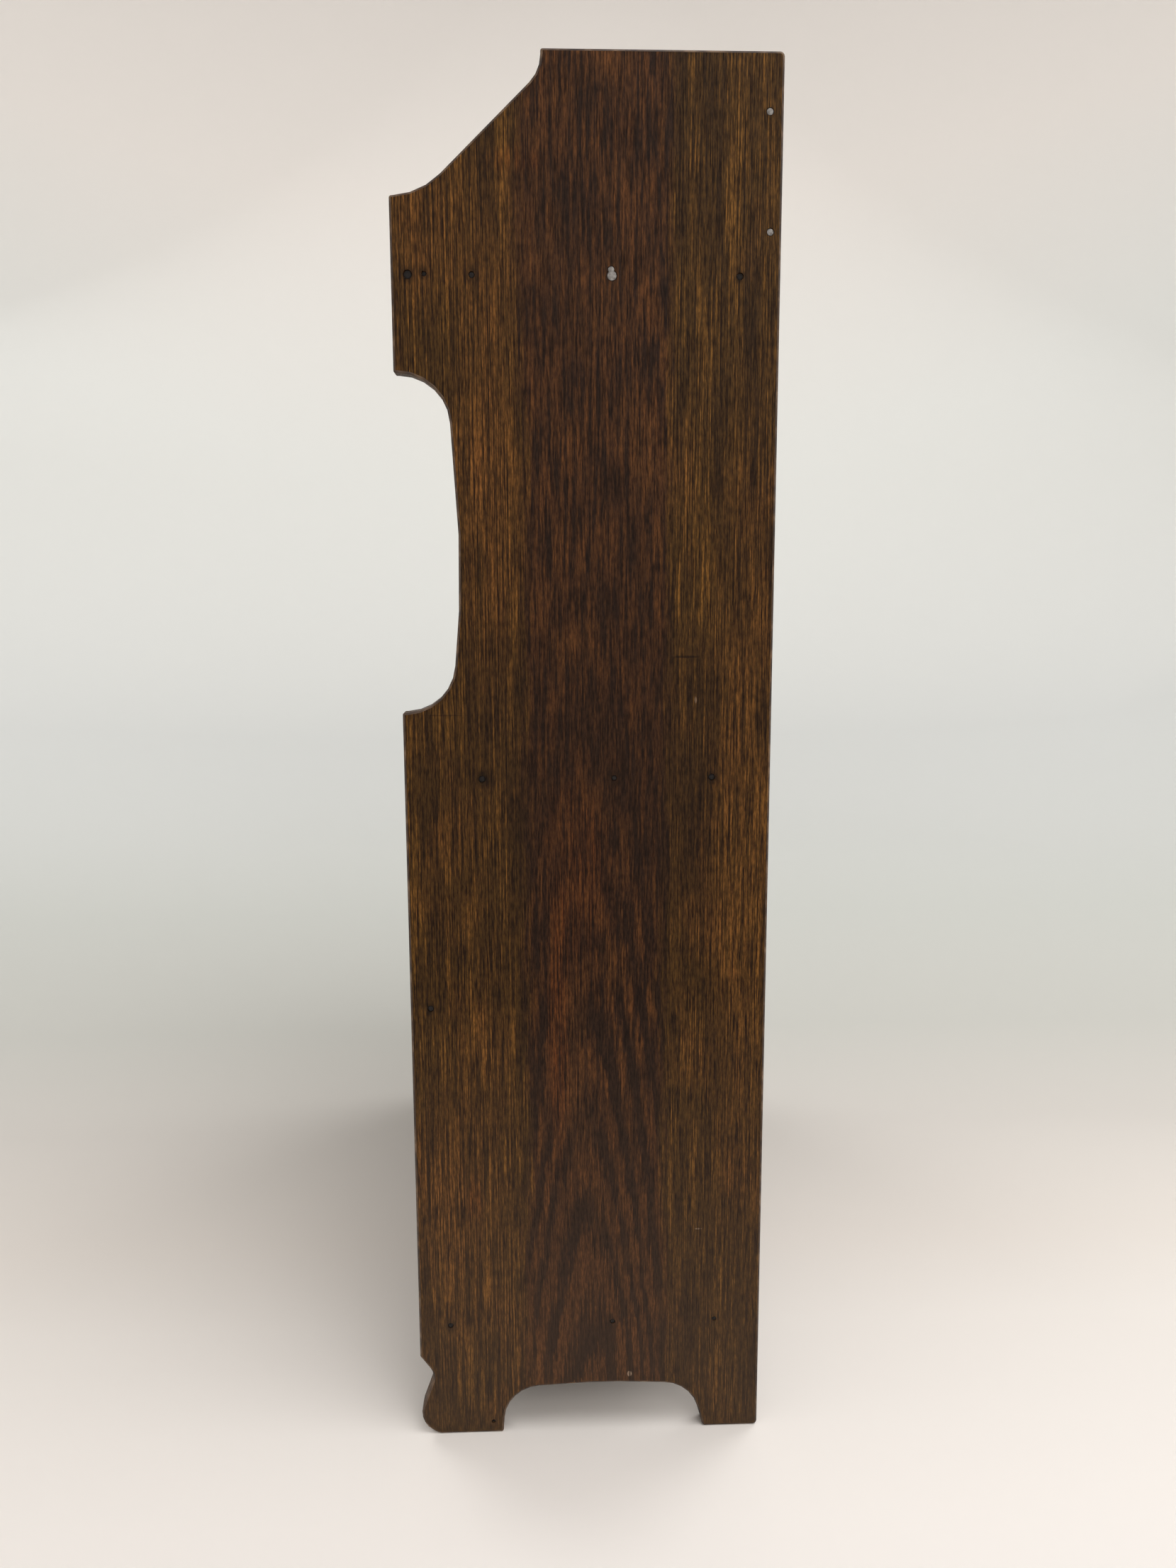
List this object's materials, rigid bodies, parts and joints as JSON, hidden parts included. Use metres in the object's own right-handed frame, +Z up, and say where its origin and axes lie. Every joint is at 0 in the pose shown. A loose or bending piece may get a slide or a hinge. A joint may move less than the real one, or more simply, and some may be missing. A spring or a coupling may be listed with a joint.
{
  "type": "punch time clock",
  "caption": "Oak-cased punch time clock: shaped side panels, a gallery, a recess with dial, card punch and card racks, and drawers below.",
  "frame": {"origin": "middle of the case's footprint, on the floor", "axes": "+Z up; the front faces -Y; +X is to the right when facing the front, and the pictured side is the +X one"},
  "size_m": [0.61, 0.24, 0.915],
  "materials": {
    "oak": "dark stained and oiled, worn",
    "brass": "aged, lightly polished",
    "steel": "ground",
    "black_steel": "black enamel",
    "cast_iron": "black",
    "enamel": "cream enamel",
    "glass": "clear",
    "rubber": "matt",
    "ribbon": "inked",
    "black_plastic": "polished"
  },
  "bodies": {
    "case": {"side_panel_right": "oak", "side_panel_left": "oak", "gallery_shelf": "oak", "recorder_shelf": "oak", "bottom_board": "oak", "divider_rail": "oak", "gallery_back_rail": "oak", "back_panel": "oak", "plinth_rail": "oak", "partition_right": "oak", "partition_left": "oak", "drawer_runner_right": "oak", "drawer_runner_left": "oak", "clock_panel": "oak", "card_rack_in": "oak", "card_rack_out": "oak", "card_throat": "brass", "bezel_hinge": "brass", "movement_front_plate": "brass", "movement_back_plate": "brass", "return_spring": "steel", "type_bridge": "cast_iron", "rocker_bracket": "cast_iron", "dial_plate": "enamel", "ink_ribbon": "ribbon"},
    "bezel": {"dial_bezel": "brass", "dial_glass": "glass"},
    "minute_train": {"minute_hand": "black_steel", "hand_nut": "brass", "centre_wheel": "brass", "minute_drive_gear": "brass"},
    "hour_train": {"hour_hand": "black_steel", "hour_wheel": "brass"},
    "barrel": {"mainspring_barrel": "brass", "winding_arbor": "steel"},
    "escape": {"escape_wheel": "brass"},
    "pendulum": {"pallet_anchor": "steel", "pendulum_rod": "steel", "pendulum_bob": "brass"},
    "upper_idler": {"upper_idler_gear": "brass"},
    "lower_idler": {"lower_idler_gear": "brass"},
    "type_shaft": {"type_arbor": "steel", "minute_type_wheel": "steel"},
    "hour_type": {"hour_type_wheel": "steel"},
    "spool_right": {"ribbon_spool_right": "black_steel"},
    "spool_left": {"ribbon_spool_left": "black_steel"},
    "punch": {"rocker_shaft": "steel", "print_hammer": "cast_iron", "hammer_platen": "rubber", "punch_lever": "black_steel", "lever_knob": "black_plastic"},
    "upper_drawer": {"upper_drawer_front": "oak", "upper_drawer_box": "oak", "upper_drawer_knob_right": "brass", "upper_drawer_knob_left": "brass"},
    "lower_drawer": {"lower_drawer_front": "oak", "lower_drawer_box": "oak", "lower_drawer_knob_right": "brass", "lower_drawer_knob_left": "brass"}
  },
  "joints": [
    {"name": "minute_turn", "type": "hinge", "parent": "case", "child": "minute_train", "pos_m": [0, 0, 0.672], "axis": [0, 1, 0], "continuous": true},
    {"name": "hour_turn", "type": "hinge", "parent": "case", "child": "hour_train", "pos_m": [0, 0, 0.672], "axis": [0, 1, 0], "continuous": true},
    {"name": "barrel_turn", "type": "hinge", "parent": "case", "child": "barrel", "pos_m": [-0.02546, 0, 0.64654], "axis": [0, 1, 0], "continuous": true},
    {"name": "escape_turn", "type": "hinge", "parent": "case", "child": "escape", "pos_m": [0, 0, 0.702], "axis": [0, 1, 0], "continuous": true},
    {"name": "upper_idler_turn", "type": "hinge", "parent": "case", "child": "upper_idler", "pos_m": [0, 0, 0.624], "axis": [0, 1, 0], "continuous": true},
    {"name": "lower_idler_turn", "type": "hinge", "parent": "case", "child": "lower_idler", "pos_m": [0, 0, 0.564], "axis": [0, 1, 0], "continuous": true},
    {"name": "type_turn", "type": "hinge", "parent": "case", "child": "type_shaft", "pos_m": [0, 0, 0.516], "axis": [0, 1, 0], "continuous": true},
    {"name": "hour_type_turn", "type": "hinge", "parent": "case", "child": "hour_type", "pos_m": [0, 0, 0.516], "axis": [0, 1, 0], "continuous": true},
    {"name": "ribbon_turn_right", "type": "hinge", "parent": "case", "child": "spool_right", "pos_m": [0.068, 0, 0.516], "axis": [0, 1, 0], "continuous": true},
    {"name": "ribbon_turn_left", "type": "hinge", "parent": "case", "child": "spool_left", "pos_m": [-0.068, 0, 0.516], "axis": [0, 1, 0], "continuous": true},
    {"name": "pendulum_swing", "type": "hinge", "parent": "case", "child": "pendulum", "pos_m": [0, 0, 0.729], "axis": [0, 1, 0], "range_deg": [-4, 4]},
    {"name": "punch_press", "type": "hinge", "parent": "case", "child": "punch", "pos_m": [0.094, 0.048, 0.56], "axis": [1, 0, 0], "range_deg": [0, 5.5], "stiffness_Nm_per_rad": 2, "springref_deg": -6.88},
    {"name": "bezel_open", "type": "hinge", "parent": "case", "child": "bezel", "pos_m": [-0.1013, -0.0456, 0.672], "axis": [0, 0, -1], "range_deg": [0, 95]},
    {"name": "upper_drawer_slide", "type": "slide", "parent": "case", "child": "upper_drawer", "axis": [0, -1, 0], "range_m": [0, 0.15]},
    {"name": "lower_drawer_slide", "type": "slide", "parent": "case", "child": "lower_drawer", "axis": [0, -1, 0], "range_m": [0, 0.15]}
  ],
  "couplings": [
    {"joint": "hour_turn", "follows": "minute_turn", "ratio": 0.083333},
    {"joint": "barrel_turn", "follows": "minute_turn", "ratio": -0.25},
    {"joint": "escape_turn", "follows": "minute_turn", "ratio": -4},
    {"joint": "upper_idler_turn", "follows": "minute_turn", "ratio": -0.6},
    {"joint": "lower_idler_turn", "follows": "minute_turn", "ratio": 0.6},
    {"joint": "type_turn", "follows": "minute_turn", "ratio": -1},
    {"joint": "hour_type_turn", "follows": "minute_turn", "ratio": -0.083333},
    {"joint": "ribbon_turn_left", "follows": "ribbon_turn_right", "ratio": 1}
  ]
}
